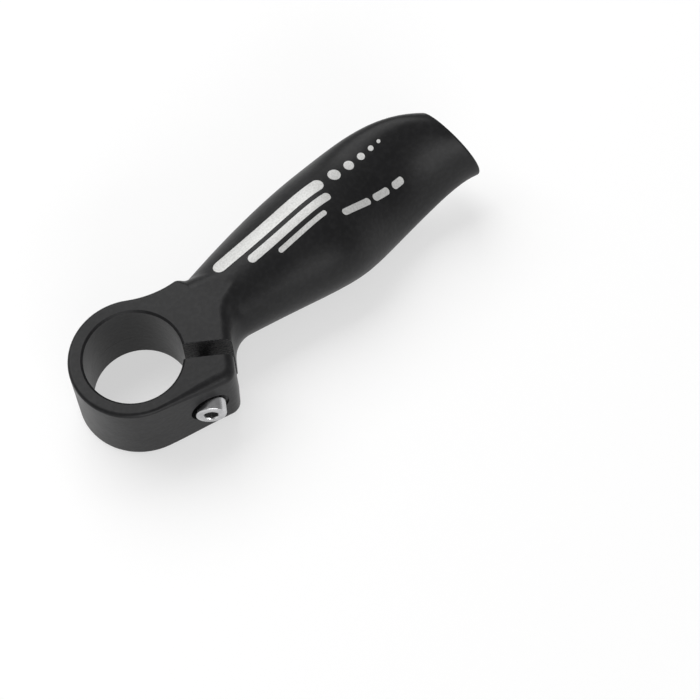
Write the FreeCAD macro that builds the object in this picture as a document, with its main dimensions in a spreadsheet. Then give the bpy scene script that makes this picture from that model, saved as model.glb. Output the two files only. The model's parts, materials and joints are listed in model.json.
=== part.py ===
import FreeCAD, Part
import math
import os
import Sketcher
from FreeCAD import Vector

# Right-hand bicycle bar end, in millimetres.
# Origin: centre of the handlebar bore, half way through the clamp.
# +Z runs along the bore to the outer face and +X out along the grip; the clamp bolt is on the -Y side.

os.makedirs("parts", exist_ok=True)
doc = FreeCAD.newDocument("BarEnd")
sheet = doc.addObject("Spreadsheet::Sheet", "Dimensions")

# name, value, what it measures
dimensions = [
    ("bar_diameter", 22.2, "bore, the size of a standard flat handlebar"),
    ("clamp_width", 19.2, "clamp ring along the handlebar"),
    ("ring_wall", 3.4, "wall of the clamp ring"),
    ("rim_round", 0.9, "rounding of the ring's outer rims"),
    ("bore_chamfer", 0.5, "chamfer at both mouths of the bore"),
    ("slot_angle", -35.5, "direction of the slot from the grip's axis, degrees"),
    ("slot_width", 3.7, "gap between the jaws, unclamped"),
    ("bolt_offset", 4.3, "bore's wall to the bolt axis, along the slot"),
    ("jaw_tip", 6.4, "bolt axis to the jaws' end wall"),
    ("jaw_thickness", 5.4, "free jaw at its end wall"),
    ("jaw_round", 2.2, "rounding of the rims at the jaws' end"),
    ("jaw_corner", 3.0, "rounding of the free jaw's corner"),
    ("seat_wall", 5.95, "free jaw between the slot and the seat under the bolt head"),
    ("head_play", 0.8, "radial play of the bolt head in its counterbore"),
    ("bolt_clearance", 0.25, "radial play of the bolt in the free jaw"),
    ("thread_clearance", 0.05, "radial play of the bolt in the tapped hole"),
    ("bolt_diameter", 4.0, "bolt thread"),
    ("bolt_length", 16.0, "bolt under the head"),
    ("bolt_runout", 1.2, "tapped hole past the bolt's point"),
    ("head_diameter", 7.0, "bolt head"),
    ("head_height", 4.0, "bolt head"),
    ("head_chamfer", 0.5, "chamfer round the top of the head"),
    ("point_chamfer", 0.6, "chamfer at the bolt's point"),
    ("hex_size", 3.0, "socket across flats"),
    ("hex_depth", 2.2, "socket depth"),
    ("heel", 10.0, "fixed jaw's end wall from the slot's middle to the neck"),
    ("heel_round", 6.0, "hollow rounding from that end wall into the neck"),
    ("neck_blend", 22.0, "radius that runs the ring into the neck"),
    ("neck_gap", 5.5, "outside of the ring to the narrowest part of the neck"),
    ("neck_round", 4.0, "rounding along the neck's edges"),
    ("neck_bend", 12.0, "bend of the neck's edge where it starts to taper"),
    ("neck_soft", 6.0, "hollow rounding where the grip grows out of the web"),
    ("tongue_run", 6.4, "flat web past the heel's corner, inside the grip"),
    ("tongue_top", 5.4, "upper side of the web's end, from the grip's axis"),
    ("tongue_bottom", 2.2, "lower side of the web's end, from the grip's axis"),
    ("tongue_cover", 2.0, "web's end to the grip's shoulder section"),
    ("root_depth", 12.0, "grip's root inside the ring, from the neck"),
    ("grip_length", 90.8, "bore centre to the middle of the tip's end face"),
    ("end_tilt", 12.0, "tilt of the tip's end face, degrees"),
    ("tilt_turn", 45.0, "side to which that face leans, degrees round the grip"),
    ("shell_wall", 1.3, "wall of the hollow grip"),
    ("solid_run", 14.0, "web's end to the bottom of the hollow"),
    ("lip_round", 0.4, "rounding of the tip's lip"),
    ("plug_clearance", 0.12, "gap between the plug and the hollow grip"),
    ("plug_recess", 0.9, "plug face below the tip's lip"),
    ("plug_length", 9.0, "plug along the grip"),
    ("plug_round", 0.6, "rounding round the plug's face"),
]

# name, formula: what follows from the values above
derived = [
    ("bore_radius", "=bar_diameter / 2"),
    ("ring_radius", "=bore_radius + ring_wall"),
    ("bolt_reach", "=bore_radius + bolt_offset"),
    ("bolt_x", "=bolt_reach * cos(slot_angle)"),
    ("bolt_y", "=bolt_reach * sin(slot_angle)"),
    ("seat_height", "=slot_width / 2 + seat_wall"),
    ("counterbore_radius", "=head_diameter / 2 + head_play"),
    ("jaw_reach", "=bolt_reach + jaw_tip"),
    ("jaw_half", "=slot_width / 2 + jaw_thickness"),
    ("jaw_square", "=jaw_reach * jaw_reach + jaw_half * jaw_half"),
    ("jaw_tangent", "=sqrt(jaw_square - ring_radius * ring_radius)"),
    ("touch_along", "=ring_radius * (ring_radius * jaw_reach - jaw_tangent * jaw_half) / jaw_square"),
    ("touch_across", "=ring_radius * (ring_radius * jaw_half + jaw_tangent * jaw_reach) / jaw_square"),
    ("neck_length", "=ring_radius + neck_gap"),
    ("blend_reach", "=ring_radius + neck_blend"),
    ("blend_height", "=sqrt(blend_reach * blend_reach - neck_length * neck_length)"),
    ("blend_share", "=ring_radius / blend_reach"),
    ("tongue_end", "=jaw_reach * cos(slot_angle) - heel * sin(slot_angle) + tongue_run"),
    ("grip_start", "=tongue_end + tongue_cover"),
    ("grip_run", "=grip_length - grip_start"),
    ("hollow_start", "=tongue_end + solid_run"),
    ("plug_top", "=grip_length - plug_recess"),
    ("plug_inset", "=shell_wall + plug_clearance"),
]

# The grip's sections from ring to tip: place from the bore centre, sideways and upwards offset,
# long axis, short axis, and twist in degrees.
sections = {
    "root": ("=neck_length - root_depth", 1.0, 0.6, 14.0, 13.6, 0.0),
    "neck": ("=neck_length", 1.0, 0.6, 16.8, 16.4, 4.0),
    "shoulder": ("=grip_start", 1.3, -0.3, 21.0, 20.6, 10.0),
    "swell": ("=grip_start + 0.2 * grip_run", 1.0, -0.8, 24.9, 23.8, 19.5),
    "belly": ("=grip_start + 0.4 * grip_run", 0.0, -0.1, 27.6, 23.3, 27.5),
    "palm": ("=grip_start + 0.6 * grip_run", 0.9, -1.4, 27.4, 17.9, 36.0),
    "waist": ("=grip_start + 0.8 * grip_run", 0.0, 0.1, 25.6, 13.5, 47.0),
    "flare": ("=grip_start + 0.92 * grip_run", -2.0, 1.2, 22.6, 12.9, 56.0),
    "tip": ("=grip_start + 1.05 * grip_run", -5.2, 0.3, 17.4, 13.9, 69.0),
}
measures = ("place", "side", "lift", "width", "thickness", "twist")

row = 1
for name, value, note in dimensions:
    sheet.set("A%d" % row, note)
    sheet.set("B%d" % row, str(value))
    sheet.setAlias("B%d" % row, name)
    row += 1
for name, formula in derived:
    sheet.set("B%d" % row, formula)
    sheet.setAlias("B%d" % row, name)
    row += 1
for station, values in sections.items():
    for measure, value in zip(measures, values):
        sheet.set("A%d" % row, "%s of the grip's %s section" % (measure, station))
        sheet.set("B%d" % row, str(value))
        sheet.setAlias("B%d" % row, "%s_%s" % (station, measure))
        row += 1
doc.recompute()


def size(name):
    """Value of one driving dimension."""
    return float(sheet.get(name))


def cell(name):
    """Expression that reads one driving dimension."""
    return "Dimensions." + name


def origin_plane(body, role):
    """One of the body's own origin planes."""
    return [feature for feature in body.Origin.OriginFeatures if feature.Role == role][0]


def new_body(label):
    body = doc.addObject("PartDesign::Body", label)
    body.Label = label
    return body


def new_sketch(body, name, role, placement=None, bindings=None):
    """Sketch on an origin plane of its body, moved and turned by bound offsets."""
    sketch = body.newObject("Sketcher::SketchObject", name)
    sketch.AttachmentSupport = (origin_plane(body, role), [""])
    sketch.MapMode = "FlatFace"
    if placement:
        sketch.AttachmentOffset = placement
    for path, expression in (bindings or {}).items():
        sketch.setExpression("AttachmentOffset." + path, expression)
    return sketch


def place_point(sketch, geometry, end, across, up):
    """Bind a vertex to its distances from the sketch origin."""
    point = sketch.getPoint(geometry, end)
    for kind, axis, expression, value in (
        ("DistanceX", -2, across, point.x),
        ("DistanceY", -1, up, point.y),
    ):
        if expression == "0":
            sketch.addConstraint(Sketcher.Constraint("PointOnObject", geometry, end, axis))
        else:
            index = sketch.addConstraint(Sketcher.Constraint(kind, -1, 1, geometry, end, value))
            sketch.setExpression("Constraints[%d]" % index, expression)


def draw_outline(sketch, corners, bends=None):
    """Closed counterclockwise outline through corners given as expressions.

    A bend turns the side after its corner into an arc: radius, centre, and whether it is hollow.
    """
    bends = bends or {}
    points = [Vector(float(sheet.evalExpression(x)), float(sheet.evalExpression(y)), 0) for x, y in corners]
    count = len(points)
    ends = []
    for index, point in enumerate(points):
        following = points[(index + 1) % count]
        if index in bends:
            radius, centre, hollow = bends[index]
            start, stop = point - centre, following - centre
            if hollow:
                start, stop = stop, start
            first = math.atan2(start.y, start.x)
            last = math.atan2(stop.y, stop.x)
            if last < first:
                last += 2 * math.pi
            circle = Part.Circle(centre, Vector(0, 0, 1), start.Length)
            sketch.addGeometry(Part.ArcOfCircle(circle, first, last), False)
            ends.append((2, 1) if hollow else (1, 2))
        else:
            sketch.addGeometry(Part.LineSegment(point, following), False)
            ends.append((1, 2))
    for index in range(count):
        following = (index + 1) % count
        joined = Sketcher.Constraint("Coincident", index, ends[index][1], following, ends[following][0])
        sketch.addConstraint(joined)
    for index, (across, up) in enumerate(corners):
        place_point(sketch, index, ends[index][0], across, up)
    for index, (radius, centre, hollow) in bends.items():
        value = float(sheet.evalExpression(radius))
        bound = sketch.addConstraint(Sketcher.Constraint("Radius", index, value))
        sketch.setExpression("Constraints[%d]" % bound, radius)


def draw_circle(sketch, radius):
    """Circle round the sketch origin."""
    index = sketch.addGeometry(Part.Circle(Vector(0, 0, 0), Vector(0, 0, 1), 1.0), False)
    sketch.addConstraint(Sketcher.Constraint("Coincident", index, 3, -1, 1))
    bound = sketch.addConstraint(Sketcher.Constraint("Radius", index, 1.0))
    sketch.setExpression("Constraints[%d]" % bound, radius)


def draw_oval(sketch, width, thickness):
    """Ellipse round the sketch origin, its long axis level."""
    half_width = float(sheet.evalExpression(width)) / 2
    half_thick = float(sheet.evalExpression(thickness)) / 2
    centre = Vector(0, 0, 0)
    sketch.addGeometry(Part.Ellipse(Vector(half_width, 0, 0), Vector(0, half_thick, 0), centre), False)
    sketch.exposeInternalGeometry(0)
    sketch.addConstraint(Sketcher.Constraint("Coincident", 0, 3, -1, 1))
    sketch.addConstraint(Sketcher.Constraint("Horizontal", 1))
    for axis, expression, value in ((1, width, half_width), (2, thickness, half_thick)):
        bound = sketch.addConstraint(Sketcher.Constraint("Distance", axis, 2 * value))
        sketch.setExpression("Constraints[%d]" % bound, expression)


def section_sketch(body, station, inset):
    """One section of the grip, shrunk by a share that takes the inset off its flat sides."""
    value = {measure: cell("%s_%s" % (station, measure)) for measure in measures}
    sketch = new_sketch(
        body,
        body.Label + "_" + station,
        "YZ_Plane",
        FreeCAD.Placement(Vector(0, 0, 0), FreeCAD.Rotation(Vector(0, 0, 1), 1)),
        {
            "Base.x": value["side"],
            "Base.y": value["lift"],
            "Base.z": value["place"],
            "Rotation.Angle": value["twist"],
        },
    )
    share = "(1 - 2 * (%s) / %s)" % (inset, value["thickness"])
    draw_oval(sketch, *["%s * %s" % (value[measure], share) for measure in ("width", "thickness")])
    return sketch


def add_loft(body, name, inset):
    """Smooth loft through all the grip's sections."""
    sketches = [section_sketch(body, station, inset) for station in sections]
    loft = body.newObject("PartDesign::AdditiveLoft", name)
    loft.Profile = sketches[0]
    loft.Sections = sketches[1:]
    doc.recompute()
    return loft


def add_pad(body, name, sketch, length, midplane=True):
    pad = body.newObject("PartDesign::Pad", name)
    pad.Profile = sketch
    pad.Midplane = midplane
    pad.setExpression("Length", length)
    doc.recompute()
    return pad


def add_cut(body, kind, name, sketch, values):
    """Pocket or groove, whose numeric properties are bound to the sheet, checked to cut."""
    cut = body.newObject("PartDesign::" + kind, name)
    cut.Profile = sketch
    for path, value in values.items():
        if path == "Length":
            cut.setExpression(path, value)
        else:
            setattr(cut, path, value)
    before = cut.BaseFeature.Shape.Volume
    doc.recompute()
    if cut.Shape.isNull() or cut.Shape.Volume > before - 0.01:
        raise RuntimeError(name + " removes nothing")
    return cut


def tip_lean():
    """Direction across the grip to which the tip's end face leans."""
    turn = math.radians(size("tilt_turn"))
    return Vector(0, math.cos(turn), math.sin(turn))


def cut_core(body, name, place, tilt, outward):
    """Cut away what lies beyond, or before, a plane at that place along the grip, tilted like the tip."""
    lean = tip_lean()
    sketch = new_sketch(
        body,
        name + "_plane",
        "YZ_Plane",
        FreeCAD.Placement(Vector(0, 0, 1), FreeCAD.Rotation(Vector(-lean.z, lean.y, 0), 1)),
        {"Base.z": place, "Rotation.Angle": tilt},
    )
    draw_circle(sketch, cell("belly_width"))
    return add_cut(body, "Pocket", name, sketch, {"Type": "ThroughAll", "Reversed": outward})


def round_edges(body, name, chosen, radius):
    """Fillet on the edges of the body's last feature that the test picks."""
    base = body.Tip
    edges = []
    for index, edge in enumerate(base.Shape.Edges, 1):
        if chosen(edge):
            edges.append("Edge%d" % index)
    fillet = body.newObject("PartDesign::Fillet", name)
    fillet.Base = (base, edges)
    fillet.setExpression("Radius", radius)
    doc.recompute()
    return fillet


def is_vertical(edge):
    start, stop = edge.Vertexes[0].Point, edge.Vertexes[-1].Point
    return abs(start.z - stop.z) > 1 and math.hypot(start.x - stop.x, start.y - stop.y) < 0.001


def is_rim(edge):
    """Edge that lies in one of the clamp's two faces."""
    box = edge.BoundBox
    return box.ZLength < 0.001 and abs(abs(box.ZMin) - size("clamp_width") / 2) < 0.001


def slot_point(along, across):
    """Point given along the slot and across it, towards the free jaw."""
    turn = math.radians(size("slot_angle"))
    ahead = Vector(math.cos(turn), math.sin(turn), 0)
    return ahead * along + Vector(ahead.y, -ahead.x, 0) * across


def runs_near(edge, target, reach):
    """Whether the edge starts or stops near that point, seen along the bore."""
    return any(math.hypot(end.X - target.x, end.Y - target.y) < reach for end in edge.Vertexes)


def slot_sketch(body, name, bindings):
    """Sketch in the clamp's middle plane, turned so that its first axis runs along the slot."""
    turn = FreeCAD.Placement(Vector(0, 0, 0), FreeCAD.Rotation(Vector(0, 0, 1), -1))
    return new_sketch(body, name, "XY_Plane", turn, dict(bindings, **{"Rotation.Angle": cell("slot_angle")}))


def slot_corner(along, across):
    """Coordinates, as expressions, of a point given along and across the slot."""
    turn = cell("slot_angle")
    x = "%s * cos(%s) + %s * sin(%s)" % (along, turn, across, turn)
    y = "%s * sin(%s) - %s * cos(%s)" % (along, turn, across, turn)
    return x, y


# Clamp: ring, jaws and the flat web of the neck in one outline
clamp = new_body("clamp")
sketch = new_sketch(clamp, "clamp_outline", "XY_Plane")
blend_centre = Vector(size("neck_length"), size("blend_height"), 0)
share = cell("blend_share")
draw_outline(
    sketch,
    [
        ("%s * %s" % (cell("neck_length"), share), "%s * %s" % (cell("blend_height"), share)),
        slot_corner(cell("touch_along"), cell("touch_across")),
        slot_corner(cell("jaw_reach"), cell("jaw_half")),
        slot_corner(cell("jaw_reach"), "-" + cell("heel")),
        (cell("tongue_end"), "-" + cell("tongue_bottom")),
        (cell("tongue_end"), cell("tongue_top")),
        (cell("neck_length"), "%s - %s" % (cell("blend_height"), cell("neck_blend"))),
    ],
    {0: (cell("ring_radius"), Vector(0, 0, 0), False), 6: (cell("neck_blend"), blend_centre, True)},
)
add_pad(clamp, "clamp_pad", sketch, cell("clamp_width"))
corner = slot_point(size("jaw_reach"), size("jaw_half"))
heel = slot_point(size("jaw_reach"), -size("heel"))
narrow = Vector(size("neck_length"), size("blend_height") - size("neck_blend"), 0)
for name, place, radius in (
    ("jaw_corner", corner, "jaw_corner"),
    ("jaw_heel", heel, "heel_round"),
    ("neck_bend", narrow, "neck_bend"),
):
    round_edges(clamp, name, lambda edge: is_vertical(edge) and runs_near(edge, place, 0.1), cell(radius))


def rim_radius(vertex):
    """Rounding of the rim at that vertex: it grows from the ring towards the jaws and the neck."""
    if math.hypot(vertex.X, vertex.Y) < size("ring_radius") + 0.01:
        return size("rim_round")
    if vertex.Y > size("tongue_top") - 0.01:
        return size("neck_round")
    return size("jaw_round")


rims = []
for number, edge in enumerate(clamp.Shape.Edges, 1):
    if is_rim(edge) and edge.BoundBox.XMin < size("tongue_end") - 1:
        rims.append((number, rim_radius(edge.Vertexes[-1]), rim_radius(edge.Vertexes[0])))
rounded = doc.addObject("Part::Fillet", "clamp_rounded")
rounded.Base = clamp
rounded.Edges = rims
doc.recompute()

# Casting: the lofted grip joined with the clamp, then hollowed from the tip
hollow = new_body("hollow")
add_loft(hollow, "hollow_core", cell("shell_wall"))
cut_core(hollow, "hollow_bottom", cell("hollow_start"), "0", False)

casting = new_body("bar_end_body")
casting.BaseFeature = rounded
doc.recompute()
grip = add_loft(casting, "grip", "0")


def is_junction(edge):
    """Whether the grip's skin crosses the clamp's skin along the edge."""
    middle = Part.Vertex(edge.valueAt((edge.FirstParameter + edge.LastParameter) / 2))
    if middle.X < size("bore_radius"):
        return False
    skins = (grip.AddSubShape.Shells[0], rounded.Shape.Shells[0])
    return all(skin.distToShape(middle)[0] < 0.01 for skin in skins)


round_edges(casting, "grip_blend", is_junction, cell("neck_soft"))
cut_core(casting, "tip_face", cell("grip_length"), cell("end_tilt"), True)
hollowed = casting.newObject("PartDesign::Boolean", "hollowed")
hollowed.setObjects([hollow])
hollowed.Type = "Cut"
doc.recompute()

sketch = new_sketch(casting, "bore_circle", "XY_Plane")
draw_circle(sketch, cell("bore_radius"))
add_cut(casting, "Pocket", "bore", sketch, {"Midplane": True, "Type": "ThroughAll"})

sketch = slot_sketch(casting, "slot_outline", {})
half_slot = "%s / 2" % cell("slot_width")
past_end = "%s + %s" % (cell("jaw_reach"), cell("jaw_round"))
sides = [("0", "-" + half_slot), (past_end, "-" + half_slot), (past_end, half_slot), ("0", half_slot)]
draw_outline(sketch, sides)
add_cut(casting, "Pocket", "slot", sketch, {"Midplane": True, "Length": "2 * " + cell("clamp_width")})

# Stepped hole for the bolt: counterbore and clearance hole in the free jaw, tapped hole in the fixed one
sketch = slot_sketch(casting, "bolt_hole_half", {"Base.x": cell("bolt_x"), "Base.y": cell("bolt_y")})
thread = cell("bolt_diameter") + " / 2"
seat = cell("seat_height")
hole_end = "%s - %s + %s" % (cell("bolt_length"), seat, cell("bolt_runout"))
draw_outline(
    sketch,
    [
        ("0", "-2 * " + seat),
        (cell("counterbore_radius"), "-2 * " + seat),
        (cell("counterbore_radius"), "-" + seat),
        ("%s + %s" % (thread, cell("bolt_clearance")), "-" + seat),
        ("%s + %s" % (thread, cell("bolt_clearance")), "0"),
        ("%s + %s" % (thread, cell("thread_clearance")), "0"),
        ("%s + %s" % (thread, cell("thread_clearance")), hole_end),
        ("0", "%s + %s / 2" % (hole_end, thread)),
    ],
)
add_cut(casting, "Groove", "bolt_hole", sketch, {"ReferenceAxis": (sketch, ["V_Axis"]), "Angle": 360})


def is_bore_mouth(edge):
    middle = edge.valueAt((edge.FirstParameter + edge.LastParameter) / 2)
    return is_rim(edge) and abs(math.hypot(middle.x, middle.y) - size("bore_radius")) < 0.001


def on_tip(edge, place):
    """Whether the edge lies in the tilted plane at that place along the grip."""
    tilt = math.radians(size("end_tilt"))
    normal = Vector(1, 0, 0) * math.cos(tilt) + tip_lean() * math.sin(tilt)
    points = [end.Point for end in edge.Vertexes]
    points.append(edge.valueAt((edge.FirstParameter + edge.LastParameter) / 2))
    return all(abs((point - Vector(place, 0, 0)).dot(normal)) < 0.01 for point in points)


tip = size("grip_length")
tip_faces = [face for face in casting.Tip.Shape.Faces if all(on_tip(edge, tip) for edge in face.Edges)]
rim = tip_faces[0].OuterWire.Edges
round_edges(casting, "tip_lip", lambda edge: any(edge.isSame(other) for other in rim), cell("lip_round"))
tip_edges = enumerate(casting.Tip.Shape.Edges, 1)
mouths = ["Edge%d" % number for number, edge in tip_edges if is_bore_mouth(edge)]
base = casting.Tip
chamfer = casting.newObject("PartDesign::Chamfer", "bore_mouths")
chamfer.Base = (base, mouths)
chamfer.setExpression("Size", cell("bore_chamfer"))
doc.recompute()

# End plug: it fills the mouth of the grip
plug = new_body("end_plug")
add_loft(plug, "plug_core", cell("plug_inset"))
cut_core(plug, "plug_outside", cell("plug_top"), cell("end_tilt"), True)
cut_core(plug, "plug_inside", "%s - %s" % (cell("plug_top"), cell("plug_length")), cell("end_tilt"), False)
round_edges(plug, "plug_edge", lambda edge: on_tip(edge, size("plug_top")), cell("plug_round"))

# Clamp bolt, drawn upright with the seat of its head at the origin
bolt = new_body("clamp_bolt")
sketch = new_sketch(bolt, "bolt_half", "XZ_Plane")
shank = cell("bolt_diameter") + " / 2"
head = cell("head_diameter") + " / 2"
point = cell("point_chamfer")
draw_outline(
    sketch,
    [
        ("0", "-" + cell("bolt_length")),
        ("%s - %s" % (shank, point), "-" + cell("bolt_length")),
        (shank, "%s - %s" % (point, cell("bolt_length"))),
        (shank, "0"),
        (head, "0"),
        (head, "%s - %s" % (cell("head_height"), cell("head_chamfer"))),
        ("%s - %s" % (head, cell("head_chamfer")), cell("head_height")),
        ("0", cell("head_height")),
    ],
)
turned = bolt.newObject("PartDesign::Revolution", "bolt_turned")
turned.Profile = sketch
turned.ReferenceAxis = (sketch, ["V_Axis"])
turned.Angle = 360
doc.recompute()
sketch = new_sketch(
    bolt,
    "socket_outline",
    "XY_Plane",
    FreeCAD.Placement(Vector(0, 0, 1), FreeCAD.Rotation()),
    {"Base.z": cell("head_height")},
)
corners = []
for number in range(6):
    reach = "%s / sqrt(3)" % cell("hex_size")
    corners.append(("%s * cos(%d)" % (reach, 30 + 60 * number), "%s * sin(%d)" % (reach, 30 + 60 * number)))
draw_outline(sketch, corners)
add_cut(bolt, "Pocket", "socket", sketch, {"Length": cell("hex_depth")})
bolt.setExpression("Placement.Base.x", "%s + %s * sin(%s)" % (cell("bolt_x"), seat, cell("slot_angle")))
bolt.setExpression("Placement.Base.y", "%s - %s * cos(%s)" % (cell("bolt_y"), seat, cell("slot_angle")))
bolt.setExpression("Placement.Rotation.Yaw", cell("slot_angle"))
bolt.setExpression("Placement.Rotation.Roll", "90")
doc.recompute()

for item in doc.Objects:
    if "Invalid" in item.State or "Error" in item.State:
        raise RuntimeError("%s: %s" % (item.Label, item.State))
for body in (casting, bolt, plug):
    if body.Shape.isNull() or not body.Shape.isValid():
        raise RuntimeError(body.Label + " has no valid shape")
    body.Shape.exportStep("parts/%s.step" % body.Label)
    print(body.Label, round(body.Shape.Volume, 1), "mm3", len(body.Shape.Solids), "solid")
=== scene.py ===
import json
import math

import bmesh
import bpy
from mathutils import Matrix, Vector
from mathutils.bvhtree import BVHTree


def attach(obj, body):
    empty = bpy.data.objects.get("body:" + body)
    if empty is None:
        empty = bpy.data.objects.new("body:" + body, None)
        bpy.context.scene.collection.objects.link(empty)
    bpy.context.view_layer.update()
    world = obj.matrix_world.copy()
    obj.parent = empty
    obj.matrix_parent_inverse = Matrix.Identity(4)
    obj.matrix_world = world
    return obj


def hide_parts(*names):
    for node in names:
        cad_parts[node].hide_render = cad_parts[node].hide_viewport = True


# Bicycle bar end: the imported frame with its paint, a threaded clamp bolt and a printed stripe pattern.
# Metres, in the frame's own axes: +Z along the handlebar bore, +X out along the grip.

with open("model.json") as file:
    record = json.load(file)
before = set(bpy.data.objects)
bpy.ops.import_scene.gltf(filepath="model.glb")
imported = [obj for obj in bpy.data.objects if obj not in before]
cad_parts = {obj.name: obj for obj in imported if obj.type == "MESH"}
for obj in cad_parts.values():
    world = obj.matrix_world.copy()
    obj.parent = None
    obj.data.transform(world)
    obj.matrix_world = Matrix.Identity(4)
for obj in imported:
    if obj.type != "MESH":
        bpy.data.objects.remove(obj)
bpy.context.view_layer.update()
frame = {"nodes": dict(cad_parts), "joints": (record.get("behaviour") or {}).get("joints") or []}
mm = 0.001
slotAngle = math.radians(-35.5)  # way from the bore's middle out through the clamp's slot
print("frame loaded:", sorted(frame["nodes"]))


# Shader helpers

def newMaterial(name):
    material = bpy.data.materials.new(name)
    material.use_nodes = True
    tree = material.node_tree
    return material, tree.nodes, tree.links, tree.nodes["Principled BSDF"]


def objectPoint(nodes):
    return nodes.new("ShaderNodeTexCoord").outputs["Object"]


def splitPoint(nodes, links, point):
    node = nodes.new("ShaderNodeSeparateXYZ")
    links.new(point, node.inputs["Vector"])
    return node.outputs


def distanceFromAxis(nodes, links, place):
    flat = nodes.new("ShaderNodeCombineXYZ")
    for axis in "XY":
        links.new(place[axis], flat.inputs[axis])
    node = nodes.new("ShaderNodeVectorMath")
    node.operation = "LENGTH"
    links.new(flat.outputs["Vector"], node.inputs[0])
    return node.outputs["Value"]


def mapRange(nodes, links, source, fromRange, toRange):
    node = nodes.new("ShaderNodeMapRange")
    node.inputs["From Min"].default_value, node.inputs["From Max"].default_value = fromRange
    node.inputs["To Min"].default_value, node.inputs["To Max"].default_value = toRange
    links.new(source, node.inputs["Value"])
    return node.outputs["Result"]


def mathNode(nodes, links, operation, first, second=None):
    node = nodes.new("ShaderNodeMath")
    node.operation = operation
    for socket, value in zip(node.inputs, (first, second)):
        if value is None:
            continue
        if isinstance(value, (int, float)):
            socket.default_value = value
        else:
            links.new(value, socket)
    return node.outputs["Value"]


def product(nodes, links, first, *others):
    for other in others:
        first = mathNode(nodes, links, "MULTIPLY", first, other)
    return first


def noiseAt(nodes, links, vector, patch, detail):
    node = nodes.new("ShaderNodeTexNoise")
    node.inputs["Scale"].default_value = 1.0 / patch  # a patch's size, in metres
    node.inputs["Detail"].default_value = detail
    links.new(vector, node.inputs["Vector"])
    return node.outputs["Fac"]


def mixColours(nodes, links, share, start, end):
    node = nodes.new("ShaderNodeMix")
    node.data_type = "RGBA"
    links.new(share, node.inputs["Factor"])
    for socket, colour in ((node.inputs[6], start), (node.inputs[7], end)):
        if isinstance(colour, tuple):
            socket.default_value = (*colour, 1.0)
        else:
            links.new(colour, socket)
    return node.outputs[2]


def bumpFrom(nodes, links, height, distance, shader):
    node = nodes.new("ShaderNodeBump")
    node.inputs["Strength"].default_value = 1.0
    node.inputs["Distance"].default_value = distance
    links.new(height, node.inputs["Height"])
    links.new(node.outputs["Normal"], shader.inputs["Normal"])


# Paint, plastic and ink share one grain: a soft orange peel with fine pits, and slow blotches

grain = {
    "peelDetail": 1.0,
    "pitDetail": 3.0,
    "blotchDetail": 3.0,
    "blotchScale": 70.0,
    "blotchRange": (0.3, 0.7),
}


def makeGrainGroup():
    group = bpy.data.node_groups.new("surfaceGrain", "ShaderNodeTree")
    face = group.interface
    face.new_socket("Vector", in_out="INPUT", socket_type="NodeSocketVector")
    for name in ("Peel Scale", "Pit Scale", "Pit Share"):
        face.new_socket(name, in_out="INPUT", socket_type="NodeSocketFloat")
    for name in ("Height", "Blotch"):
        face.new_socket(name, in_out="OUTPUT", socket_type="NodeSocketFloat")
    nodes, links = group.nodes, group.links
    given = nodes.new("NodeGroupInput")
    result = nodes.new("NodeGroupOutput")
    noises = {}
    for name in ("peel", "pit", "blotch"):
        noise = nodes.new("ShaderNodeTexNoise")
        noise.inputs["Detail"].default_value = grain[name + "Detail"]
        links.new(given.outputs["Vector"], noise.inputs["Vector"])
        noises[name] = noise
    noises["blotch"].inputs["Scale"].default_value = grain["blotchScale"]
    links.new(given.outputs["Peel Scale"], noises["peel"].inputs["Scale"])
    links.new(given.outputs["Pit Scale"], noises["pit"].inputs["Scale"])
    pits = product(nodes, links, noises["pit"].outputs["Fac"], given.outputs["Pit Share"])
    height = mathNode(nodes, links, "ADD", noises["peel"].outputs["Fac"], pits)
    links.new(height, result.inputs["Height"])
    links.new(noises["blotch"].outputs["Fac"], result.inputs["Blotch"])
    return group


grainGroup = makeGrainGroup()


def addGrain(nodes, links, vector, look):
    node = nodes.new("ShaderNodeGroup")
    node.node_tree = grainGroup
    links.new(vector, node.inputs["Vector"])
    node.inputs["Peel Scale"].default_value = 1.0 / look["peel"]
    node.inputs["Pit Scale"].default_value = 1.0 / look["pit"]
    node.inputs["Pit Share"].default_value = look["pitShare"]
    return node.outputs["Height"], node.outputs["Blotch"]


# Casting: satin black powder coat, with the bore's turned wall showing through a thinner coat

paint = {
    "dark": (0.0085, 0.0085, 0.0090),
    "light": (0.0160, 0.0160, 0.0167),
    "lightenedBy": 0.5,  # the share that blotches and specks each add
    "speckRange": (0.60, 0.86),
    "roughness": (0.33, 0.44),
    "shine": 0.18,
    "peel": 1.1 * mm,
    "pit": 0.22 * mm,
    "pitShare": 0.35,
    "bumpHeight": 0.03 * mm,
    # bore; every relief here counts in bump heights
    "boreRadius": 11.1 * mm,
    "boreMargin": 0.15 * mm,
    "boreSmoother": 0.06,
    "turning": 0.35 * mm,
    "turningRelief": 0.10,
    "lineHeight": -2.2 * mm,
    "lineHalf": 0.16 * mm,
    "lineRelief": 1.5,
    # the line's dark colour is painted shade in its groove
    "lineShade": (0.004, 0.004, 0.004),
    # slot
    "slotHalf": 1.9 * mm,
    "slotStart": 8.0 * mm,
    "slotSmoother": 0.12,
    "castGrain": 0.4 * mm,
    "castDetail": 4.0,
    "castRelief": 6.0,
}


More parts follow.
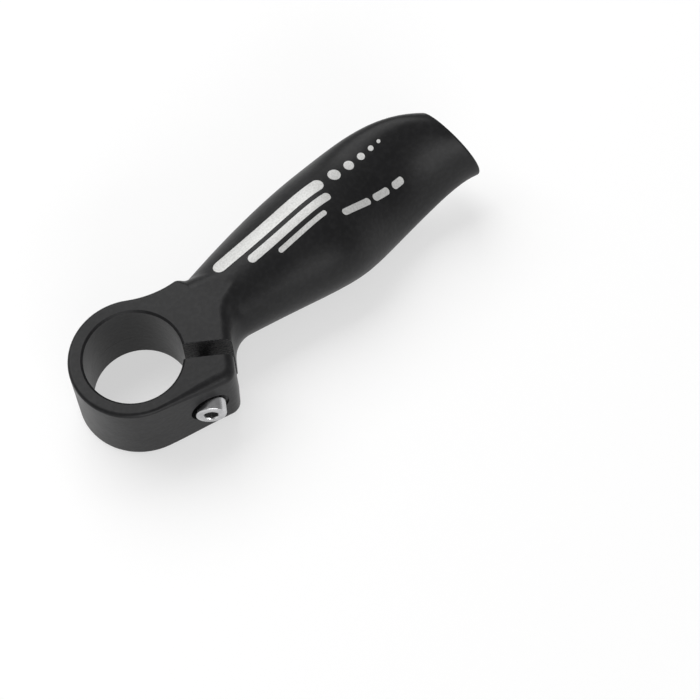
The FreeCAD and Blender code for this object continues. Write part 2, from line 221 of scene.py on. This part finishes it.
def makePaint():
    material, nodes, links, shader = newMaterial("satinBlackPaint")
    point = objectPoint(nodes)
    height, blotch = addGrain(nodes, links, point, paint)
    place = splitPoint(nodes, links, point)
    reach = distanceFromAxis(nodes, links, place)
    inBore = mathNode(nodes, links, "LESS_THAN", reach, paint["boreRadius"] + paint["boreMargin"])
    # turned rings in the bore, and the fine line where its two cuts meet, a shallow groove painted dark as
    # painted shade
    phase = product(nodes, links, place["Z"], 2 * math.pi / paint["turning"])
    rings = product(nodes, links, mathNode(nodes, links, "SINE", phase), inBore, paint["turningRelief"])
    relief = mathNode(nodes, links, "ADD", height, rings)
    fromLine = mathNode(nodes, links, "SUBTRACT", place["Z"], paint["lineHeight"])
    fromLine = mathNode(nodes, links, "ABSOLUTE", fromLine)
    line = mathNode(nodes, links, "LESS_THAN", fromLine, paint["lineHalf"])
    line = product(nodes, links, line, inBore)
    groove = product(nodes, links, line, paint["lineRelief"])
    relief = mathNode(nodes, links, "SUBTRACT", relief, groove)
    # rough as cast inside the clamp's slot
    turn = nodes.new("ShaderNodeMapping")
    turn.inputs["Rotation"].default_value = (0, 0, -slotAngle)
    links.new(point, turn.inputs["Vector"])
    inSlotFrame = splitPoint(nodes, links, turn.outputs["Vector"])
    aside = mathNode(nodes, links, "ABSOLUTE", inSlotFrame["Y"])
    between = mathNode(nodes, links, "LESS_THAN", aside, paint["slotHalf"])
    ahead = mathNode(nodes, links, "GREATER_THAN", inSlotFrame["X"], paint["slotStart"])
    outsideBore = mathNode(nodes, links, "SUBTRACT", 1.0, inBore)
    inSlot = product(nodes, links, between, ahead, outsideBore)
    cast = noiseAt(nodes, links, point, paint["castGrain"], paint["castDetail"])
    cast = product(nodes, links, cast, inSlot, paint["castRelief"])
    relief = mathNode(nodes, links, "ADD", relief, cast)
    bumpFrom(nodes, links, relief, paint["bumpHeight"], shader)
    # colour and roughness
    lightened = (0.0, paint["lightenedBy"])
    specks = mapRange(nodes, links, height, paint["speckRange"], lightened)
    blotches = mapRange(nodes, links, blotch, grain["blotchRange"], lightened)
    share = mathNode(nodes, links, "ADD", blotches, specks)
    coat = mixColours(nodes, links, share, paint["dark"], paint["light"])
    # the bore's fine line is painted dark: painted shade in its groove
    coat = mixColours(nodes, links, line, coat, paint["lineShade"])
    links.new(coat, shader.inputs["Base Color"])
    rough = mapRange(nodes, links, blotch, grain["blotchRange"], paint["roughness"])
    boreShare = product(nodes, links, inBore, paint["boreSmoother"])
    slotShare = product(nodes, links, inSlot, paint["slotSmoother"])
    smoother = mathNode(nodes, links, "ADD", boreShare, slotShare)
    rough = mathNode(nodes, links, "SUBTRACT", rough, smoother)
    links.new(rough, shader.inputs["Roughness"])
    shader.inputs["Specular IOR Level"].default_value = paint["shine"]
    return material


# End plug: moulded plastic, duller than the paint

plastic = {
    "dark": (0.026, 0.026, 0.027),
    "light": (0.036, 0.036, 0.037),
    "roughness": (0.5, 0.62),
    "roughRange": (0.4, 1.2),
    "peel": 0.5 * mm,
    "pit": 0.15 * mm,
    "pitShare": 0.8,
    "bumpHeight": 0.02 * mm,
}


def makePlastic():
    material, nodes, links, shader = newMaterial("mouldedBlackPlastic")
    height, blotch = addGrain(nodes, links, objectPoint(nodes), plastic)
    bumpFrom(nodes, links, height, plastic["bumpHeight"], shader)
    share = mapRange(nodes, links, blotch, grain["blotchRange"], (0.0, 1.0))
    colour = mixColours(nodes, links, share, plastic["dark"], plastic["light"])
    links.new(colour, shader.inputs["Base Color"])
    rough = mapRange(nodes, links, height, plastic["roughRange"], plastic["roughness"])
    links.new(rough, shader.inputs["Roughness"])
    return material


for name, material in (("bar_end_body", makePaint()), ("end_plug", makePlastic())):
    mesh = frame["nodes"][name].data
    mesh.materials.clear()
    mesh.materials.append(material)
print("paint and plastic set")


# Mesh helpers

def pick(items, kind):
    return [item for item in items if isinstance(item, kind)]


def openCircle(bm, segments, radius):
    verts = bmesh.ops.create_circle(bm, segments=segments, radius=radius, cap_ends=False)["verts"]
    return verts, list(dict.fromkeys(edge for vert in verts for edge in vert.link_edges))


def growLoop(bm, edges, radius, height):
    made = bmesh.ops.extrude_edge_only(bm, edges=edges)["geom"]
    verts = pick(made, bmesh.types.BMVert)
    now = Vector((verts[0].co.x, verts[0].co.y)).length
    bmesh.ops.scale(bm, vec=(radius / now, radius / now, 1.0), verts=verts)
    bmesh.ops.translate(bm, vec=(0, 0, height - verts[0].co.z), verts=verts)
    return pick(made, bmesh.types.BMEdge)


def closeLoop(bm, edges, height):
    verts = pick(bmesh.ops.extrude_edge_only(bm, edges=edges)["geom"], bmesh.types.BMVert)
    bmesh.ops.translate(bm, vec=(0, 0, height - verts[0].co.z), verts=verts)
    bmesh.ops.pointmerge(bm, verts=verts, merge_co=(0, 0, height))


def linkMesh(bm, name, material):
    mesh = bpy.data.meshes.new(name)
    bm.to_mesh(mesh)
    bm.free()
    mesh.materials.append(material)
    made = bpy.data.objects.new(name, mesh)
    bpy.context.scene.collection.objects.link(made)
    return made


def placeMesh(bm, name, place, material):
    bmesh.ops.recalc_face_normals(bm, faces=bm.faces)
    bmesh.ops.transform(bm, matrix=place, verts=bm.verts)
    return linkMesh(bm, name, material)


def shadeSharp(piece, angle):
    piece.data.polygons.foreach_set("use_smooth", [True] * len(piece.data.polygons))
    piece.data.set_sharp_from_angle(angle=angle)


# Clamp bolt: socket head screw with a rolled thread, made upright with its seat at z = 0, then put in place

boltJoint = frame["joints"][0]
bolt = {
    "seatHeight": 7.8 * mm,  # from the joint's own point
    "segments": 48,
    "headRadius": 3.5 * mm,
    "headHeight": 4.0 * mm,
    "seatChamfer": 0.15 * mm,
    "rimChamfer": 0.6 * mm,
    "rimBulge": 0.30,  # where the chamfer's middle edge lies, as a share of it
    "hexAcross": 3.0 * mm,
    "hexDepth": 2.2 * mm,
    "hexMouth": 1.85 * mm,
    "hexSink": 0.28 * mm,
    "hexCone": 0.5 * mm,
    "length": 16.0 * mm,
    "plainShank": 1.0 * mm,
    "coreSegments": 24,
    "coreGap": 0.02 * mm,
    "coreChamfer": 0.3 * mm,
    "threadRadius": 2.0 * mm,
    "rootRadius": 1.62 * mm,
    "pitch": 0.7 * mm,
    "toothRoot": 0.42,  # half the tooth's width at its root and crest, in pitches
    "toothCrest": 0.07,
    "toothSink": 0.1 * mm,
    "threadStart": 0.2 * mm,
    "threadSpare": 1.0 * mm,
    "sharpAngle": math.radians(32),
    "bevelAngle": math.radians(40),
    "bevelWidth": 0.05 * mm,
    # plating, duller in the socket from below its lip to above the seat, where its darker colour is painted
    # shade
    "dark": (0.50, 0.50, 0.51),
    "light": (0.62, 0.62, 0.63),
    "roughness": (0.14, 0.26),
    "smear": 1.6 * mm,
    "smearDetail": 4.0,
    "toneRange": (0.35, 0.65),
    "polishRange": (0.3, 0.7),
    "ringScale": 2200.0,
    "ringDistortion": 1.5,
    "ringDetailScale": 2.0,
    "ringHeight": 0.0015 * mm,
    "socketShade": (0.20, 0.20, 0.20),
    "socketDuller": 0.3,
    "socketLip": 0.24 * mm,
    "socketEnd": 0.2 * mm,
}


def makeSteel(place):
    material, nodes, links, shader = newMaterial("brightPlatedSteel")
    spot = nodes.new("ShaderNodeMapping")
    spot.vector_type = "TEXTURE"
    spot.inputs["Location"].default_value = place.to_translation()
    spot.inputs["Rotation"].default_value = place.to_euler()
    links.new(objectPoint(nodes), spot.inputs["Vector"])
    point = spot.outputs["Vector"]
    rings = nodes.new("ShaderNodeTexWave")
    rings.wave_type = "RINGS"
    rings.rings_direction = "Z"
    rings.inputs["Scale"].default_value = bolt["ringScale"]
    rings.inputs["Distortion"].default_value = bolt["ringDistortion"]
    rings.inputs["Detail Scale"].default_value = bolt["ringDetailScale"]
    links.new(point, rings.inputs["Vector"])
    bumpFrom(nodes, links, rings.outputs["Fac"], bolt["ringHeight"], shader)
    smear = noiseAt(nodes, links, point, bolt["smear"], bolt["smearDetail"])
    inBolt = splitPoint(nodes, links, point)
    reach = distanceFromAxis(nodes, links, inBolt)
    nearAxis = mathNode(nodes, links, "LESS_THAN", reach, bolt["hexMouth"])
    belowLip = mathNode(nodes, links, "LESS_THAN", inBolt["Z"], bolt["headHeight"] - bolt["socketLip"])
    aboveSeat = mathNode(nodes, links, "GREATER_THAN", inBolt["Z"], bolt["socketEnd"])
    inSocket = product(nodes, links, nearAxis, belowLip, aboveSeat)
    tone = mapRange(nodes, links, smear, bolt["toneRange"], (0.0, 1.0))
    colour = mixColours(nodes, links, tone, bolt["dark"], bolt["light"])
    # painted shade darkens the socket's colour
    colour = mixColours(nodes, links, inSocket, colour, bolt["socketShade"])
    links.new(colour, shader.inputs["Base Color"])
    shader.inputs["Metallic"].default_value = 1.0
    polish = mapRange(nodes, links, smear, bolt["polishRange"], bolt["roughness"])
    duller = product(nodes, links, inSocket, bolt["socketDuller"])
    links.new(mathNode(nodes, links, "ADD", polish, duller), shader.inputs["Roughness"])
    return material


def addHead(bm):
    radius, top, rim = bolt["headRadius"], bolt["headHeight"], bolt["rimChamfer"]
    chamfer, bulge = bolt["seatChamfer"], bolt["rimBulge"] * rim
    edges = openCircle(bm, bolt["segments"], bolt["threadRadius"])[1]
    for reach, height in ((radius - chamfer, 0.0), (radius, chamfer), (radius, top - rim),
                          (radius - bulge, top - bulge), (radius - rim, top), (bolt["hexMouth"], top)):
        edges = growLoop(bm, edges, reach, height)
    # six-sided socket below its round mouth
    corners, sides = openCircle(bm, 6, bolt["hexAcross"] / math.sqrt(3))
    bmesh.ops.translate(bm, vec=(0, 0, top - bolt["hexSink"]), verts=corners)
    cut = bmesh.ops.subdivide_edges(bm, edges=sides, cuts=bolt["segments"] // 6 - 1)
    sides = pick(cut["geom"], bmesh.types.BMEdge)
    bmesh.ops.bridge_loops(bm, edges=edges + sides)
    sunk = bmesh.ops.extrude_edge_only(bm, edges=sides)["geom"]
    drop = bolt["hexSink"] - bolt["hexDepth"]
    bmesh.ops.translate(bm, vec=(0, 0, drop), verts=pick(sunk, bmesh.types.BMVert))
    closeLoop(bm, pick(sunk, bmesh.types.BMEdge), top - bolt["hexDepth"] - bolt["hexCone"])


def addCore(bm):
    shank, root, chamfer = bolt["threadRadius"] - bolt["coreGap"], bolt["rootRadius"], bolt["coreChamfer"]
    collar, end = -bolt["plainShank"], -bolt["length"]
    edges = openCircle(bm, bolt["coreSegments"], shank)[1]
    for reach, height in ((shank, collar), (root, collar - chamfer), (root, end + chamfer),
                          (root - chamfer, end)):
        edges = growLoop(bm, edges, reach, height)
    closeLoop(bm, edges, end)


def addThread(bm):
    # one tooth swept down the core
    pitch, around = bolt["pitch"], bolt["coreSegments"]
    crest, root = bolt["threadRadius"], bolt["rootRadius"] - bolt["toothSink"]
    tooth = ((root, bolt["toothRoot"]), (crest, bolt["toothCrest"]),
             (crest, -bolt["toothCrest"]), (root, -bolt["toothRoot"]))
    start = -bolt["plainShank"] - bolt["threadStart"]
    verts = [bm.verts.new((reach, 0, start + share * pitch)) for reach, share in tooth]
    loop = [bm.edges.new((verts[index], verts[(index + 1) % 4])) for index in range(4)]
    turns = (bolt["length"] - bolt["plainShank"] - bolt["threadSpare"]) / pitch
    steps = int(turns * around)
    bmesh.ops.spin(bm, geom=verts + loop, cent=(0, 0, 0), axis=(0, 0, 1), dvec=(0, 0, -pitch / around),
                   angle=2 * math.pi * steps / around, steps=steps, use_merge=False, use_duplicate=False)
    bmesh.ops.holes_fill(bm, edges=[edge for edge in bm.edges if edge.is_boundary], sides=4)


def makeBolt():
    bm = bmesh.new()
    addHead(bm)
    addCore(bm)
    addThread(bm)
    ahead = Vector((math.cos(slotAngle), math.sin(slotAngle), 0))
    axis = Vector(boltJoint["axis"])
    place = Matrix((ahead, axis.cross(ahead), axis)).transposed().to_4x4()
    place.translation = Vector(boltJoint["pos_m"]) + axis * bolt["seatHeight"]
    made = placeMesh(bm, "socketHeadBolt", place, makeSteel(place))
    shadeSharp(made, bolt["sharpAngle"])
    bevel = made.modifiers.new("softEdges", "BEVEL")
    bevel.width = bolt["bevelWidth"]
    bevel.segments = 2
    bevel.limit_method = "ANGLE"
    bevel.angle_limit = bolt["bevelAngle"]
    return made


boltPiece = makeBolt()
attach(boltPiece, "bolt")
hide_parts("clamp_bolt")
print("bolt made:", len(boltPiece.data.polygons), "faces")


# Print: plain stripes and shrinking dots laid on the grip's outer side

ink = {
    "speck": (0.47, 0.47, 0.46),
    "colour": (0.60, 0.60, 0.59),
    "speckRange": (0.55, 0.95),
    "roughness": (0.42, 0.55),
    "metallic": 0.25,
    "peel": 0.4 * mm,
    "pit": 0.12 * mm,
    "pitShare": 0.6,
    "bumpHeight": 0.008 * mm,
    "lift": 0.025 * mm,
    "above": 0.05,  # height from which the print is dropped on the grip
    "roundSegments": 28,
    "sharpAngle": math.radians(60),
    # cuts across the print let it follow the grip: spacing, and the span along X and along Y
    "step": 0.9 * mm,
    "spanAlong": (0.02, 0.08),
    "spanAcross": (-0.008, 0.008),
    # middle along the grip, middle across it, length, width, in millimetres
    "stripes": ((43.0, 4.4, 32.0, 3.2), (46.0, 0.6, 24.0, 2.1), (47.5, -2.2, 14.0, 1.2),
                (61.5, -4.4, 8.0, 1.5), (68.8, -4.4, 4.6, 1.5), (73.9, -4.4, 3.2, 1.5)),
    # the same middles, then the dot's width
    "dots": ((62.6, 4.4, 3.0), (67.0, 4.4, 2.4), (70.7, 4.4, 1.8), (73.7, 4.4, 1.3), (76.1, 4.4, 0.9)),
}


def makeInk():
    material, nodes, links, shader = newMaterial("silverInk")
    height, blotch = addGrain(nodes, links, objectPoint(nodes), ink)
    share = mapRange(nodes, links, height, ink["speckRange"], (0.0, 1.0))
    colour = mixColours(nodes, links, share, ink["speck"], ink["colour"])
    links.new(colour, shader.inputs["Base Color"])
    rough = mapRange(nodes, links, blotch, grain["blotchRange"], ink["roughness"])
    links.new(rough, shader.inputs["Roughness"])
    bumpFrom(nodes, links, height, ink["bumpHeight"], shader)
    shader.inputs["Metallic"].default_value = ink["metallic"]
    return material


def addMark(bm, x, y, length, width):
    made = bmesh.ops.create_circle(bm, segments=ink["roundSegments"], radius=width / 2, cap_ends=True)
    ring = made["verts"]
    half = (length - width) / 2
    right = [vert for vert in ring if vert.co.x > 0]
    left = [vert for vert in ring if vert.co.x <= 0]
    bmesh.ops.translate(bm, vec=(half, 0, 0), verts=right)
    bmesh.ops.translate(bm, vec=(-half, 0, 0), verts=left)
    bmesh.ops.translate(bm, vec=(x, y, 0), verts=ring)


def cutAcross(bm, span, normal):
    place = span[0] + ink["step"]
    while place < span[1]:
        geom = bm.verts[:] + bm.edges[:] + bm.faces[:]
        bmesh.ops.bisect_plane(bm, geom=geom, plane_co=Vector(normal) * place, plane_no=normal)
        place += ink["step"]


def makePrint():
    bm = bmesh.new()
    dots = [(x, y, width, width) for x, y, width in ink["dots"]]
    for x, y, length, width in (*ink["stripes"], *dots):
        addMark(bm, x * mm, y * mm, length * mm, width * mm)
    cutAcross(bm, ink["spanAlong"], (1, 0, 0))
    cutAcross(bm, ink["spanAcross"], (0, 1, 0))
    body = frame["nodes"]["bar_end_body"]
    surface = BVHTree.FromObject(body, bpy.context.evaluated_depsgraph_get())
    for vert in bm.verts:
        above = Vector((vert.co.x, vert.co.y, ink["above"]))
        hit, normal = surface.ray_cast(above, Vector((0, 0, -1)))[:2]
        vert.co = hit + normal * ink["lift"]
    bmesh.ops.triangulate(bm, faces=[face for face in bm.faces if len(face.verts) > 4])
    made = linkMesh(bm, "stripePrint", makeInk())
    shadeSharp(made, ink["sharpAngle"])
    return made


printPiece = makePrint()
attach(printPiece, "bar_end")
print("print made:", len(printPiece.data.polygons), "faces")


# Studio: the floor that the ring's lower rim and the grip's belly rest on, the lamps and the camera

studio = {
    "floorSize": 6.0,
    "restNormal": (0.0543, 0.0137, 0.9984),
    "restDrop": 10.35 * mm,
    "floorColour": (0.92, 0.92, 0.92),
    "floorShown": (0.43, 0.43, 0.43),
    "floorGlow": 0.57,
    "floorRoughness": 0.9,
    "horizonLight": 0.6,
    "overheadLight": 0.3,
    "dimmedAt": 0.35,  # Z of the direction from which the light is as overhead
    # name, place, width, height, watts
    "lamps": (("key", (0.08, 0.62, 0.78), 1.2, 0.8, 10.0),
              ("fill", (-0.38, -0.92, 0.30), 0.9, 0.5, 6.0)),
    "lampTarget": (0.035, 0, 0),
    "lensMm": 122.27,
    "sensorMm": 36.0,
    "cameraPlace": (-0.10471, -0.21863, 0.47205),
    "lookAt": (0.03891, -0.02714, 0.0),
    "roll": math.radians(-5.26),
    "clip": (0.01, 20.0),
}


def makeFloor():
    bm = bmesh.new()
    bmesh.ops.create_grid(bm, x_segments=1, y_segments=1, size=studio["floorSize"] / 2)
    normal = Vector(studio["restNormal"]).normalized()
    place = Vector((0, 0, 1)).rotation_difference(normal).to_matrix().to_4x4()
    place.translation = -normal * studio["restDrop"]
    material, nodes, links, shader = newMaterial("paleFloor")
    # to the camera and in reflections near white with a light shadow, but it lights the piece as plain pale
    rays = nodes.new("ShaderNodeLightPath")
    seen = rays.outputs["Is Camera Ray"]
    for name in ("Is Glossy Ray", "Is Transmission Ray"):
        seen = mathNode(nodes, links, "MAXIMUM", seen, rays.outputs[name])
    colour = mixColours(nodes, links, seen, studio["floorColour"], studio["floorShown"])
    links.new(colour, shader.inputs["Base Color"])
    shader.inputs["Emission Color"].default_value = (1, 1, 1, 1)
    links.new(product(nodes, links, seen, studio["floorGlow"]), shader.inputs["Emission Strength"])
    shader.inputs["Roughness"].default_value = studio["floorRoughness"]
    shader.inputs["Specular IOR Level"].default_value = 0.0
    placeMesh(bm, "floor", place, material)


def aim(made, place, target, roll=0.0):
    look = (Vector(target) - Vector(place)).to_track_quat("-Z", "Y")
    made.location = place
    made.rotation_mode = "QUATERNION"
    made.rotation_quaternion = look @ Matrix.Rotation(roll, 3, "Z").to_quaternion()


def makeLamps():
    for name, place, width, height, power in studio["lamps"]:
        data = bpy.data.lights.new(name, "AREA")
        data.shape = "RECTANGLE"
        data.size = width
        data.size_y = height
        data.energy = power
        lamp = bpy.data.objects.new(name, data)
        bpy.context.scene.collection.objects.link(lamp)
        aim(lamp, place, studio["lampTarget"])


def makeWorld():
    world = bpy.data.worlds.new("studio")
    bpy.context.scene.world = world
    world.use_nodes = True
    nodes, links = world.node_tree.nodes, world.node_tree.links
    background = nodes["Background"]
    background.inputs["Color"].default_value = (1, 1, 1, 1)
    # light walls and a dim ceiling
    direction = splitPoint(nodes, links, nodes.new("ShaderNodeTexCoord").outputs["Generated"])
    levels = (studio["horizonLight"], studio["overheadLight"])
    strength = mapRange(nodes, links, direction["Z"], (0.0, studio["dimmedAt"]), levels)
    links.new(strength, background.inputs["Strength"])


def makeCamera():
    data = bpy.data.cameras.new("photoCamera")
    data.lens = studio["lensMm"]
    data.sensor_width = studio["sensorMm"]
    data.clip_start, data.clip_end = studio["clip"]
    camera = bpy.data.objects.new("photoCamera", data)
    bpy.context.scene.collection.objects.link(camera)
    bpy.context.scene.camera = camera
    aim(camera, studio["cameraPlace"], studio["lookAt"], studio["roll"])


makeFloor()
makeWorld()
makeLamps()
makeCamera()
bpy.context.scene.view_settings.view_transform = "Standard"
print("studio set")
